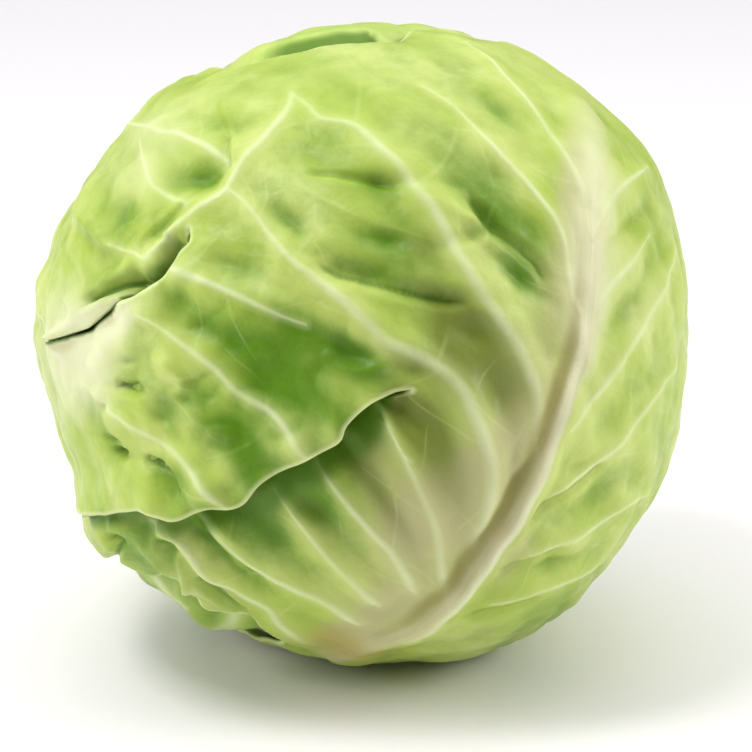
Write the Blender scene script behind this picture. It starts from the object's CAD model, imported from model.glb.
import math

import bmesh
import bpy
import numpy as np
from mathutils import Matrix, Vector, geometry, kdtree, noise


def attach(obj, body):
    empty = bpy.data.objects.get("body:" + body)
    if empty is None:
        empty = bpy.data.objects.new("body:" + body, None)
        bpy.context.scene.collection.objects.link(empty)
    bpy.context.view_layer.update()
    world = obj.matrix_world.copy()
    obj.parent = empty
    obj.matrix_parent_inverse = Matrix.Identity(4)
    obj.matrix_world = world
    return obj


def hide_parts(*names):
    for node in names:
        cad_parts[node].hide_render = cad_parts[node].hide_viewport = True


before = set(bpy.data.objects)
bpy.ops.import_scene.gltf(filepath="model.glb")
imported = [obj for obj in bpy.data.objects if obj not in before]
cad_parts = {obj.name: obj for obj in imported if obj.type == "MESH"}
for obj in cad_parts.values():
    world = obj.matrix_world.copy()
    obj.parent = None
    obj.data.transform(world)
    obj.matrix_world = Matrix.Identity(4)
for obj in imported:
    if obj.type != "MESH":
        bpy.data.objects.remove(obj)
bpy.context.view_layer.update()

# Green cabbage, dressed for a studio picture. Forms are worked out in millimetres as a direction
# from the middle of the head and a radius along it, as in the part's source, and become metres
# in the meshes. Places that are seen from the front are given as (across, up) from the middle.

MM = 0.001

# The head, in millimetres and degrees
HEAD_RADIUS = 90.0
FRONT_RADIUS = 88.5
MIDDLE = np.array((0.337, 0.28, 85.5))
AXIS_TILT = 12.0
VIEW_ELEVATION = 17.0
VIEW_DISTANCE = 800.0
VIEW_WIDTH = 208.9
VIEW_AIM = (3.3, -9.2)

# Leaves
BLADE = 1.3
MARGIN_BLADE = 0.75
LEAF_GAP = 2.2
RAMP = 15.0
RIB_DEPTH = 4.5
RIB_REACH = 60.0
RIB_HALF_WIDTH = 13.0
MARGIN_WAVE = 1.6
MARGIN_WAVE_REACH = 14.0
MARGIN_ROUND = 0.35
WANDER_SCALE = 9.0
OUTLINE_STEP = 1.3
SPLIT_STEP = 1.3
VEIN_STEP = 2.4
SLIT_HALF_WIDTH = 0.3

# How far the blade sags between its veins, and how far it is darker beside a leaf that lies on it
SAG = 1.1
SAG_REACH = 9.0
UNDER_REACH = 6.0

# How a split in the front leaf opens
EDGE_LIFT = 3.0
LIFT_REACH = 16.0
EDGE_DROP = 6.0
DROP_REACH = 15.0
EDGE_SLIDE = 8.0
SLIDE_REACH = 28.0
SLIDE_FROM = 0.38
SLIDE_SPAN = 0.4
TEAR_START = 0.09
POCKET_ROOM = 0.9
POCKET_FLOOR = 14.0
POCKET_SIDES = 22.0

# The slit at the top, where the back leaf dips behind the front leaf's lip
SLIT_DIP = 3.2
SLIT_BACK = 9.0
SLIT_RISE = 10.0
SLIT_DARK = 12.0

# The stem
STEM_HALF_ANGLE = 11.5
STEM_TOP = 63.0
STEM_CUT = 83.0
LEAF_BASE_ANGLE = 12.1

# The veins of a leaf that the front view hides, in degrees and mm
HIDDEN_SWAY = 3.0
HIDDEN_EVERY = 15.0
HIDDEN_LENGTH = 130.0
VEIN_STRIDE = 5.0
VEIN_WOBBLE = 34.0

RIGHT = np.array((1.0, 0.0, 0.0))
UPWARD = np.array((0.0, math.sin(math.radians(VIEW_ELEVATION)), math.cos(math.radians(VIEW_ELEVATION))))
TO_VIEWER = np.array((0.0, -UPWARD[2], UPWARD[1]))
APEX = np.array((math.sin(math.radians(AXIS_TILT)), 0.0, math.cos(math.radians(AXIS_TILT))))
AXIS_FRONT = np.array((0.0, -1.0, 0.0))
AXIS_RIGHT = np.cross(AXIS_FRONT, -APEX)

# The head's outline from the front
RIM = [(90, 2), (88.9, 20), (84, 42), (77, 55), (67, 65), (57, 73), (40, 83), (20, 87.6), (0, 88.7),
       (-20, 85.6), (-40, 77.2), (-56.5, 69.7), (-69.5, 55.4), (-80, 41), (-87, 26), (-90.5, 8), (-90.4, -4),
       (-85, -24), (-79.5, -37), (-77, -51), (-68.5, -62), (-54, -70.5), (-38, -79), (-21, -85),
       (-5, -88.4), (10, -88), (32, -86.6), (54.4, -75.6), (69.7, -59), (84.4, -35), (89, -12)]

# The front leaf's edges
LOWER_SPLIT = [(13.4, -13.2), (10.4, -13.8), (7, -14.9), (0.9, -17.5), (-4.2, -22.2), (-6.5, -26.8),
               (-15.3, -31.8), (-27, -37.7), (-32.9, -44.1), (-41.9, -45.1), (-51.5, -48.3),
               (-60.6, -45.8), (-71.2, -47.2), (-76.5, -47.2)]
UPPER_SPLIT = [(-48, 32), (-48.3, 28), (-50.7, 25), (-53.2, 20), (-58, 15.5), (-66, 12), (-71, 8.2),
               (-75.6, 4.5), (-80, 2.6), (-84.5, 0.6), (-88.6, 3.5)]
TOP_LIP = [(36, 84), (30, 85.4), (24, 86.7), (18, 87.4), (13.5, 86.8), (10.5, 84.8), (7, 83.8), (0, 83.7),
           (-10, 82.8), (-20, 80.3), (-30, 78), (-37, 76.5)]
LOWER_FRILL = [(-70, -60), (-64, -63.8), (-58, -65.4), (-52, -65), (-48.5, -69.5), (-43, -74),
               (-33.4, -75.4), (-28.6, -78.4), (-23.3, -83.2)]
MIDRIB = [(-7, -87), (1, -83), (12, -79.5), (20, -73.5), (27.5, -66), (34, -57), (41, -47), (47, -36.5),
          (52, -25), (56, -13), (59, -5), (61, 8), (62, 24), (61.5, 40), (60.5, 55), (58, 68)]

# The front leaf's veins: half width in mm at the start and at the end, and the places they pass
STRONG_VEINS = [
    (1.7, 0.8, [(30, -56), (34.2, -44), (35, -35.4), (33.3, -27.8), (29.9, -19.3), (27, -13), (21.4, -7.4),
                (14, -3), (9, -1), (5, 1.5), (-2, 8.5), (-6, 12), (-15, 19), (-19.5, 22.5), (-25, 28.5),
                (-29.5, 34.5), (-33, 39), (-37, 42)]),
    (1.4, 0.9, [(46, -34), (48, -22.7), (47.6, -15.9), (45, -7.4), (41, 1.1), (34.2, 11.3), (28, 20.5), (24, 28),
                (19, 36.5), (15, 41.5), (10, 48.5), (4, 54), (-3, 60), (-12, 62), (-15, 65), (-20, 69)]),
    (0.9, 0.7, [(-20, 69), (-20.5, 65), (-25.5, 58), (-33, 50), (-38, 42.5), (-42, 38.5), (-50, 33.5),
                (-54, 29), (-62, 25), (-70, 27)]),
    (1.0, 0.5, [(59, 8), (57, 15), (54, 31), (46, 42), (37, 52), (30, 60), (22, 67.5), (16, 71)]),
    (1.0, 0.5, [(60, 38), (58, 46), (52, 57), (45, 67), (37, 75.5), (28, 83)]),
    (1.2, 0.5, [(23, -71), (20.8, -60.3), (20.4, -55.7), (18.5, -48), (11.8, -34.3), (5.6, -24), (1.3, -18.3)]),
    (1.2, 0.5, [(14, -69), (8.7, -58.8), (4, -53.7), (-7.2, -43.2), (-16.6, -33)]),
    (1.2, 0.5, [(4, -73), (-1.3, -67.7), (-8, -61.6), (-14.8, -54.2), (-22.9, -46)]),
    (1.3, 0.6, [(-2, -77), (-9.4, -71.6), (-22.3, -65.9), (-31.8, -62), (-39, -56.3), (-51, -51), (-62, -49)]),
    (1.3, 0.6, [(-14, -83), (-22.3, -77.6), (-27, -73), (-36.6, -68.3), (-43.8, -63), (-49, -57.7), (-60, -54)]),
    (0.8, 0.7, [(-15, -31), (-17, -29), (-25, -20), (-35.2, -13.6), (-42.7, -5.7), (-56, 4.5), (-61.8, 7.6)]),
    (0.9, 0.5, [(-53, 20.5), (-42.7, 16.5), (-30.8, 11.2), (-23.3, 7.6), (-16, 5)]),
    (0.8, 0.6, [(-37, -43.5), (-48, -34), (-55, -28), (-63, -23), (-70, -18), (-78, -11)]),
    (0.8, 0.4, [(-36, 49), (-43, 54), (-50, 57), (-58, 58.8), (-66, 60)]),
    (0.7, 0.4, [(-48, 38), (-53, 40), (-58, 43.5), (-60, 48), (-62, 56)]),
    (0.8, 0.5, [(56, -24), (62.2, -15.9), (67.3, -9.9), (71.5, -4), (76.6, 3.7), (81, 12), (84.3, 19), (86, 26)]),
    (1.0, 0.4, [(61, 8), (68, 16), (74, 23), (79, 30)]),
    (0.9, 0.4, [(62, 28), (64, 33), (67, 38), (71, 43), (79, 49)]),
    (0.7, 0.5, [(52, -42), (61.3, -36), (70.7, -27.8), (75, -22.7), (81, -14.2), (86, -6.5)]),
    (0.6, 0.5, [(46, -59), (54, -55.5), (63.9, -50.7), (72.4, -44.8), (78.3, -42)]),
    (0.6, 0.4, [(35, -72.5), (42, -70.5), (52, -67), (66, -61)]),
]
FAINT_VEINS = [
    (0.6, 0.3, [(-4, 60), (-2, 61), (-1.8, 63), (-1.3, 70), (-1.8, 75.4), (-6, 81)]),
    (0.6, 0.3, [(-30, 53), (-25, 51), (-20, 46.7), (-15.5, 42.5), (-10, 39.5), (2, 33.5), (8, 32.5), (22, 27.5)]),
    (0.5, 0.3, [(-62, -12.2), (-52.6, -16), (-46.2, -21.2), (-39.3, -27.6)]),
    (0.5, 0.3, [(-45, 31.5), (-40, 30), (-35, 28.5), (-28, 28), (-22, 25)]),
    (0.6, 0.3, [(-70, 26.5), (-72, 30), (-76, 37)]),
    (0.5, 0.3, [(-70, 26.5), (-64, 36), (-52, 42)]),
    (0.5, 0.3, [(80, -14), (83, -12), (87, -3), (89, 4)]),
    (0.5, 0.3, [(33, 12), (20, 14), (8, 16), (-6, 22)]),
    (0.5, 0.3, [(28, 20), (34, 30), (36, 44), (30, 58)]),
    (0.5, 0.3, [(14, 43), (22, 50), (26, 62), (22, 74)]),
    (0.5, 0.3, [(20, -6), (24, 6), (20, 18)]),
    (0.5, 0.3, [(-20, 22), (-14, 32), (-14, 42)]),
    (0.5, 0.3, [(-25, -20), (-32, -28), (-44, -32)]),
    (0.5, 0.3, [(-42, -6), (-50, -10), (-60, -8)]),
    (0.5, 0.3, [(60, 46), (66, 52), (70, 58)]),
    (0.5, 0.3, [(45, -79), (52, -76), (60, -70)]),
    (0.5, 0.3, [(-12, 62), (-20, 60), (-26, 57)]),
    (0.5, 0.3, [(-50, 57), (-56, 64), (-60, 66)]),
    (0.5, 0.3, [(-15, 66), (-8, 72), (4, 76)]),
]

# Hollows and swellings of the front leaf: across, up, half length, half width, turn, height, deep green
HOLLOWS = [
    (6, 44.5, 11, 3.5, -8, -1.1, 0.6), (7, 29, 8, 3.2, -12, -1.0, 0.7), (-1, 20.5, 10, 3.4, -14, -1.2, 0.8),
    (22, 13, 14, 3.2, -8, -1.0, 0.3), (-4, -3, 14, 5, -24, -1.1, 0.8), (12, -6, 9, 3.5, -12, -0.9, 0.4),
    (43, 19, 9, 4, -40, -1.0, 0.9), (37, 47, 8, 3.4, -46, -0.8, 0.6), (34, 36, 7, 3, -45, -0.7, 0.8),
    (31, 3, 10, 5, -24, -1.0, 0.7), (36, -11, 9, 4.5, -75, -1.0, 0.6), (26, 44, 6, 2.6, -20, -0.6, 0.4),
    (-42, 2.5, 8, 3.2, -30, -0.8, 0.6), (-25, -8, 15, 11, -35, -1.0, 1.0), (-22, 6, 10, 4, -24, -0.9, 0.8),
    (-25, -20, 12, 5, -40, -0.8, 0.8), (40, -15, 9, 5, 70, -0.8, 0.3), (-43, 47, 8, 5, 40, -1.2, 0.35),
    (72, 9, 9, 6, 40, -0.7, 0.2), (-50, 12, 8, 4, -20, -0.8, 0.4), (-38, 22, 8, 3.5, -15, -0.8, 0.4),
    (-65, -12.3, 6, 1.6, -8, -1.0, 0.4), (-72.5, -17, 2.2, 1.6, 0, -0.9, 0.4), (-70, -27, 4, 1.2, -20, -0.7, 0.4),
    (-67.5, -30.6, 3.6, 1.5, -16, -1.2, 0.6), (-58.5, -33.3, 4, 1.4, -35, -1.0, 0.5),
    (-54, -39, 6, 2.4, -50, -1.0, 0.5), (-66, -5, 2.4, 1.6, 0, -0.7, 0.3), (-56, -21, 3, 1.6, -30, -0.7, 0.4),
    (-49, -16, 3, 1.6, -30, -0.7, 0.4), (-43, -58, 8, 3, -38, -1.2, 0.6), (-40, -68.5, 8, 2.6, -30, -1.1, 0.5),
    (-13, -48.7, 7, 3.4, -18, -1.1, 0.8), (-25, -55, 7, 3.6, -30, -1.1, 0.7), (-60, -55, 7, 3, 8, -1.0, 0.4),
    (-30, -66, 8, 3, -38, -1.0, 0.5), (6, -44, 8, 3, -55, -0.8, 0.2), (-2, -36, 8, 3.4, -45, -1.0, 0.4),
    (-66, 36, 9, 3, 66, -0.4, 0.15), (-73, 24, 4, 2, 80, -0.6, 0.2), (-56, 32, 8, 2.4, 36, -1.0, 0.35),
    (12.5, -19.5, 8, 4, -54, -1.3, 0.7), (-47, 46, 9, 4.5, 20, -0.8, 0.5), (-54, 22, 4, 2.4, 50, -0.6, 0.9),
    (-20, 34, 9, 3, -40, -0.8, 0.3), (-14, 52, 10, 4, -30, -0.8, 0.3), (30, 30, 9, 3, 20, -0.7, 0.4),
    (50, 60, 9, 3, -48, -0.6, 0.2), (38, 64, 10, 3, -48, -0.6, 0.25), (24, 76, 9, 3, -30, -0.5, 0.2),
    (76, -20, 9, 3, 55, -0.6, 0.2), (66, -42, 9, 2.6, 30, -0.7, 0.2), (56, -62, 9, 2.6, 18, -0.7, 0.2),
    (74, 34, 8, 3, 42, -0.6, 0.15), (48, -62, 10, 2.4, 14, -0.6, 0.2), (60, -34, 9, 2.4, 28, -0.6, 0.1),
]
SWELLINGS = [
    (-60, -18, 10, 6, -30, 1.0), (-62, 38, 10, 8, 30, 0.8), (-84, 1, 5, 4, 0, 1.4), (-75, 14.4, 5, 2.2, 18, 1.0),
    (4, 43.5, 16, 2.4, -6, 0.7), (30, 33.5, 14, 2.2, -30, 0.7), (-30, 12, 14, 5, -25, 0.6), (-40, -22, 14, 5, -38, 0.8),
    (-10, -14, 12, 5, -40, 0.7), (-55, -62, 6, 3, -10, 0.9), (-66, -58, 6, 3, 0, 0.8), (-38, -76, 7, 2.6, -26, 0.7),
    (-58, 7, 12, 4, -28, 0.7), (20, 24, 14, 3, -22, 0.5), (-2, 10, 12, 3, -30, 0.5), (-73, -53, 9, 7, 0, 1.2),
]

# Creases and folds of the front leaf: half width, height, and the places they pass
CREASES = [
    (0.8, 0.6, [(-39.3, 68), (-38.5, 64), (-36.8, 60), (-36, 55), (-35.3, 49.5)]),
    (1.4, -0.8, [(-37.6, 58), (-37.4, 52), (-37, 48)]),
    (1.3, -1.9, [(-78, 10.5), (-75, 12.6), (-71, 14.5), (-66.3, 16.7), (-62, 17.8), (-57, 18.5), (-53, 20)]),
    (2.0, 1.5, [(-63.5, 15), (-66, 13.6), (-70.4, 10.8), (-75, 7.8), (-79.6, 5.3), (-83.7, 1.6), (-86, -1)]),
    (1.8, 0.9, [(-75, 14.6), (-71, 17.4), (-64, 21.5), (-59, 24.6), (-53, 30), (-48, 34.4)]),
    (1.6, -1.0, [(-51, 29.5), (-54, 25), (-57, 21)]),
    (1.5, -1.1, [(-16, 23.6), (-8, 19.3), (-2.3, 17.9), (4.8, 16.2), (10.4, 14.7), (19.7, 12.6), (31, 10.5)]),
    (1.6, 0.9, [(-70, 25), (-74, 31), (-80, 36.6)]),
    (1.8, -0.3, [(-69.5, 28.8), (-67, 34), (-65.3, 38), (-64.5, 47)]),
    (1.4, 0.9, [(-12, -1.5), (-7, -6), (-2, -7.4), (4, -6.6), (9, -5)]),
    (1.2, -1.2, [(-69, -11), (-66, -12.3), (-62, -13)]),
    (1.2, 0.8, [(-64, -9), (-57, -13), (-50.5, -15.5), (-46, -20), (-38, -27)]),
    (1.2, 0.7, [(-50, -14.5), (-50.5, -10), (-54, -6), (-60, -3)]),
    (1.6, -0.4, [(-84, 26), (-80, 20), (-78, 14)]),
    (1.3, 0.9, [(-83, 14), (-79, 9.4), (-74, 9.4), (-68, 12.6)]),
    (1.2, -1.2, [(27, 43), (30, 40), (36.7, 31.7), (44.4, 25.7), (48.6, 21.5), (52, 15)]),
    (1.2, 0.8, [(27, 36.5), (33, 29), (41, 23), (47, 17)]),
    (1.1, -0.8, [(43, -52), (48, -47.5), (54, -42.5), (61, -37.5), (68, -32)]),
    (1.1, -0.7, [(36, -64), (42, -62), (48, -60), (56, -56)]),
    (1.1, -0.7, [(27, -76.5), (35, -74.5), (42, -72.5), (50, -70)]),
    (1.1, -1.4, [(-72, -54.4), (-69, -55.6), (-67.1, -56.5), (-69, -59.1), (-70.4, -61.4)]),
    (2.0, -1.0, [(-49, -56), (-44, -58.4), (-40, -60.5), (-36, -64), (-31, -67)]),
    (2.0, -1.0, [(-48, -64.5), (-45, -67), (-41, -70.4), (-37, -72.6), (-31, -74.5)]),
    (1.3, -1.1, [(-58, -57.6), (-53.2, -58.6), (-50.3, -60.5)]),
    (0.9, 1.1, [(-50.3, -59.6), (-49.6, -63), (-49, -67), (-48.6, -69)]),
    (1.2, 0.9, [(-60, -57), (-50.3, -57), (-46.5, -61), (-41.7, -65.3), (-37, -69.6), (-28, -74)]),
    (1.0, 0.6, [(-49.4, -52.6), (-43.6, -52.6), (-37.6, -55), (-33, -58.4)]),
    (1.6, -0.7, [(-74, -49.5), (-64.2, -52), (-51.3, -54.3)]),
    (1.4, 0.7, [(-72, -51.5), (-64, -55), (-58, -60), (-54, -63.5)]),
    (1.0, -0.9, [(-61, -31.5), (-58.5, -33.5), (-56, -35), (-53, -39), (-50, -43)]),
    (1.0, -0.9, [(-70, -29.8), (-67.5, -30.8), (-65, -31.3)]),
    (1.0, 0.7, [(-69, 25), (-74, 30), (-79, 34)]),
    (1.0, 0.6, [(-69, 25), (-68, 32), (-66, 40)]),
    (1.1, 0.6, [(-66, 25), (-58, 32), (-48, 40)]),
    (1.0, -0.7, [(-17, 47.5), (-4, 46.4), (5, 45), (12, 43)]),
    (1.2, -0.6, [(30, -58), (36, -48), (41, -39), (47, -30), (51, -20)]),
]

# Colour areas of the front leaf: across, up, half length, half width, turn, strength
CREAM = [
    (-78, -6, 24, 16, 80, 1.0), (-70, 6, 14, 6, 30, 0.8), (-84, 10, 16, 8, 80, 0.4), (62, 42, 34, 10, 88, 0.8),
    (60, 8, 26, 9, 86, 0.8), (-10, 76, 40, 8, 10, 0.3), (-64, 50, 32, 18, 50, 0.5), (80, 20, 34, 12, 80, 0.3),
    (20, 60, 26, 12, -40, 0.25), (-52, -68, 9, 2.4, -12, 0.9), (84, -10, 22, 8, 70, 0.3), (-50, 24, 22, 10, 30, 0.3),
    (-30, 62, 30, 16, 0, 0.2), (66, -50, 26, 8, 45, 0.2), (-70, -40, 16, 6, -20, 0.3),
]
ROSE = [
    (30, -44, 24, 18, 70, 1.0), (44, -22, 20, 10, 66, 0.9), (14, -50, 20, 15, 40, 0.9), (8, -72, 18, 9, 20, 0.9),
    (54, 16, 30, 7, 84, 0.6), (38, -4, 18, 9, 50, 0.5), (-4, -80, 12, 5, 10, 0.7), (42, -60, 14, 5, 50, 0.4),
    (57, 48, 22, 5, 84, 0.5), (4, -36, 12, 7, 60, 0.3), (34.4, -41, 13, 2.4, 92, 0.5), (48, -22, 9, 2.6, 92, 0.5),
]
OCHRE = [
    (-9, -82.5, 12, 5, -8, 0.9), (6, -84, 16, 4, 8, 0.6), (-84, 0, 4, 6, 80, 0.5), (-68, 14.5, 9, 1.6, 24, 0.4),
    (36, -52, 8, 3, 55, 0.4), (50, -26, 9, 3, 64, 0.4), (-76, -50, 5, 3, 0, 0.3),
]
DEEP = [
    (-30, -2, 27, 14, -38, 0.6), (-21, -15, 14, 9, -48, 0.5), (-38, -25, 18, 6, -40, 0.6), (-10, -44, 20, 8, -45, 0.6),
    (-30, -58, 20, 8, -38, 0.5), (-4, -4, 18, 6, -20, 0.5), (4, 27, 20, 8, -14, 0.3), (16, 18, 18, 6, -20, 0.2),
    (-45, -39, 14, 4, -30, 0.6), (-33, -34, 13, 4, -50, 0.6), (-14, 4, 18, 4, -30, 0.5), (-48, -26, 14, 4, -38, 0.4),
    (40, 34, 20, 10, -45, 0.4), (0, -26, 14, 5, -40, 0.8), (-22, -44, 14, 4, -35, 0.7), (56, -76, 20, 8, 35, 0.3),
    (26, 52, 16, 8, -45, 0.3), (-48, -50, 20, 3, -4, 0.5), (-66, 34, 12, 8, 60, 0.25), (-60, -60, 14, 6, -20, 0.3),
]
MOSS = [
    (30, -6, 24, 12, -58, 1.0), (30, 8, 16, 6, -30, 0.7), (14, -5, 12, 5, -28, 0.8), (14, -21, 14, 8, -55, 0.9),
    (20, -34, 22, 9, -66, 0.6), (-1, -34, 14, 7, -50, 0.6), (44, -8, 14, 5, -64, 0.6), (8, -46, 18, 5, -60, 0.4),
    (36, 32, 16, 5, -48, 0.4), (9, 46, 12, 3, -10, 0.4), (18, 27, 12, 6, -10, 0.5), (-12, -52, 16, 6, -46, 0.4),
    (-34, 46, 10, 5, 40, 0.3), (50, 18, 14, 4, -70, 0.3), (-2, 8, 14, 4, -40, 0.3), (-40, -68, 14, 4, -34, 0.4),
]
BUMPY = [(-45, -15, 40, 34, -40, 1.0), (-50, -58, 26, 14, -35, 0.6), (0, 20, 40, 26, -30, 0.3)]

# Soft long folds of the front leaf run this way, seen from the front
FOLD_WAY = math.radians(-48.0)
FOLD_STRETCH = 0.76
FOLD_HEIGHT = 1.0


def unit(vectors):
    """The vectors at length one."""
    return vectors / np.linalg.norm(vectors, axis=-1, keepdims=True)


def smooth(values):
    """Zero below 0, one above 1, and an even slope between."""
    held = np.clip(values, 0.0, 1.0)
    return held * held * (3.0 - 2.0 * held)


def spline(points, step, closed=False):
    """A smooth line through the points, with a point about every step."""
    points = np.asarray(points, dtype=float)
    count = len(points)
    if closed:
        spans = [((i - 1) % count, i, (i + 1) % count, (i + 2) % count) for i in range(count)]
    else:
        last = count - 1
        spans = [(max(i - 1, 0), i, i + 1, min(i + 2, last)) for i in range(last)]
    result = []
    for before, start, end, after in spans:
        pieces = max(1, round(float(np.linalg.norm(points[end] - points[start])) / step))
        for k in range(pieces):
            t = k / pieces
            a = points[end] - points[before]
            b = 2 * points[before] - 5 * points[start] + 4 * points[end] - points[after]
            c = 3 * points[start] - points[before] - 3 * points[end] + points[after]
            result.append(points[start] + 0.5 * (a * t + b * t * t + c * t ** 3))
    if not closed:
        result.append(points[-1])
    return np.array(result)


RIM_LINE = spline(RIM, 4.0, closed=True)
RIM_ORDER = np.argsort(np.arctan2(RIM_LINE[:, 1], RIM_LINE[:, 0]))
RIM_ANGLES = np.arctan2(RIM_LINE[:, 1], RIM_LINE[:, 0])[RIM_ORDER]
RIM_RADII = np.hypot(RIM_LINE[:, 0], RIM_LINE[:, 1])[RIM_ORDER]
RIM_RADII = RIM_RADII * math.sqrt(1.0 - (HEAD_RADIUS / VIEW_DISTANCE) ** 2)


def head_radius(directions):
    """How far the head's outer face is from its middle: its outline all round, flat where it rests."""
    turn = np.arctan2(directions @ UPWARD, directions @ RIGHT)
    rim = np.interp(turn, RIM_ANGLES, RIM_RADII, period=2 * math.pi)
    radius = FRONT_RADIUS + (rim - FRONT_RADIUS) * (1.0 - (directions @ TO_VIEWER) ** 2)
    return np.minimum(radius, MIDDLE[2] / np.maximum(-directions[:, 2], 0.1))


def seen(points):
    """Directions to the places on the head that are seen at (across, up) from the front."""
    eye = VIEW_DISTANCE * TO_VIEWER
    places = np.asarray(points, dtype=float)
    rays = unit(places[:, :1] * RIGHT + places[:, 1:] * UPWARD - eye)
    nearest = eye - (rays @ eye)[:, None] * rays
    directions = unit(nearest)
    for _ in range(4):
        depth = np.maximum(head_radius(directions) ** 2 - (nearest ** 2).sum(axis=1), 0.0)
        directions = unit(nearest - np.sqrt(depth)[:, None] * rays)
    return directions


def pictured(directions):
    """Where each place is seen from the front, as across and up in mm, and how far it faces there."""
    places = directions * head_radius(directions)[:, None]
    near = VIEW_DISTANCE / (VIEW_DISTANCE - places @ TO_VIEWER)
    return places @ RIGHT * near, places @ UPWARD * near, smooth(directions @ TO_VIEWER / 0.2 + 0.4)


def toward(*places):
    """Directions given as (degrees round to the right from the front, degrees up)."""
    turn, rise = np.radians(np.asarray(places, dtype=float)).T
    return np.stack((np.cos(rise) * np.sin(turn), -np.cos(rise) * np.cos(turn), np.sin(rise)), axis=1)


def round_stem(turn, away):
    """The direction at an angle away from the stem's pole, turned round the axis from the front."""
    turn, away = np.radians(turn), np.radians(away)
    across = np.multiply.outer(np.cos(turn), AXIS_FRONT) + np.multiply.outer(np.sin(turn), AXIS_RIGHT)
    return np.multiply.outer(np.cos(away), -APEX) + (np.sin(away) * across.T).T


def leaf_base(start, end):
    """The edge of a leaf where it clasps the stem, between two turns round it."""
    turns = np.linspace(start, end, max(3, round(abs(end - start) / 12.0)))
    return round_stem(turns, np.full(len(turns), LEAF_BASE_ANGLE))


def on_head(directions, step):
    """A smooth line over the head through the directions."""
    return unit(spline(directions * HEAD_RADIUS, step))


def nearest_on(line, directions):
    """Distance to a line in mm, the fraction along it, and the side: above 0 is right of its way."""
    places = directions * HEAD_RADIUS
    knots = line * HEAD_RADIUS
    best = np.full(len(places), np.inf)
    fraction = np.zeros(len(places))
    side = np.zeros(len(places))
    lengths = np.linalg.norm(np.diff(knots, axis=0), axis=1)
    reached = np.concatenate(([0.0], np.cumsum(lengths)))
    for i, length in enumerate(lengths):
        along = (knots[i + 1] - knots[i]) / length
        t = np.clip((places - knots[i]) @ along, 0.0, length)
        off = places - knots[i] - t[:, None] * along
        distance = np.sqrt(np.einsum("ij,ij->i", off, off))
        closer = distance < best
        best[closer] = distance[closer]
        fraction[closer] = (reached[i] + t[closer]) / reached[-1]
        side[closer] = np.sign(off[closer] @ np.cross(along, knots[i] / HEAD_RADIUS))
    return best, fraction, side


def near_line(line, directions, reach):
    """As nearest_on, but only for places within reach of the line; others get the reach as distance."""
    middle = unit(line.mean(axis=0))
    radius = np.linalg.norm(line - middle, axis=1).max() * HEAD_RADIUS + reach
    close = np.linalg.norm(directions - middle, axis=1) * HEAD_RADIUS < radius
    distance = np.full(len(directions), float(reach))
    along = np.zeros(len(directions))
    side = np.ones(len(directions))
    if close.any():
        distance[close], along[close], side[close] = nearest_on(line, directions[close])
    return distance, along, side


def chart(directions, centre):
    """The directions flattened about a centre, keeping their angles."""
    across = unit(np.cross((0.0, 0.0, 1.0), centre))
    up = np.cross(centre, across)
    scale = 2.0 / (1.0 + np.maximum(directions @ centre, -0.98))
    return np.stack((directions @ across * scale, directions @ up * scale), axis=1)


def inside(flat, outline):
    """Which flat points lie in a closed flat outline."""
    result = np.zeros(len(flat), dtype=bool)
    for start, end in zip(outline, np.roll(outline, -1, axis=0)):
        spans = (start[1] > flat[:, 1]) != (end[1] > flat[:, 1])
        rise = end[1] - start[1] if end[1] != start[1] else 1.0
        result ^= spans & (flat[:, 0] < start[0] + (flat[:, 1] - start[1]) / rise * (end[0] - start[0]))
    return result


def ridge(distance, half_width):
    """A rounded ridge's height over its middle line, from 1 down to 0."""
    return 0.5 + 0.5 * np.cos(math.pi * np.clip(distance / half_width, 0.0, 1.0))


def rough(directions, size, seed):
    """Smooth noise over the head, from about -1 to 1, with bumps of a size in mm."""
    scale = HEAD_RADIUS / size
    offset = Vector((seed, 2 * seed, 3 * seed))
    return np.array([noise.noise(Vector(place) + offset) for place in (directions * scale).tolist()])


def areas(across, up, facing, table):
    """How strongly each place lies in the areas of a table: across, up, half sizes, turn, strength."""
    total = np.zeros(len(across))
    for x, y, half_length, half_width, turn, strength in table:
        cos, sin = math.cos(math.radians(turn)), math.sin(math.radians(turn))
        dx, dy = across - x, up - y
        spread = ((dx * cos + dy * sin) / half_length) ** 2 + ((dy * cos - dx * sin) / half_width) ** 2
        total += strength * np.exp(-1.6 * spread)
    return total * facing


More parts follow.
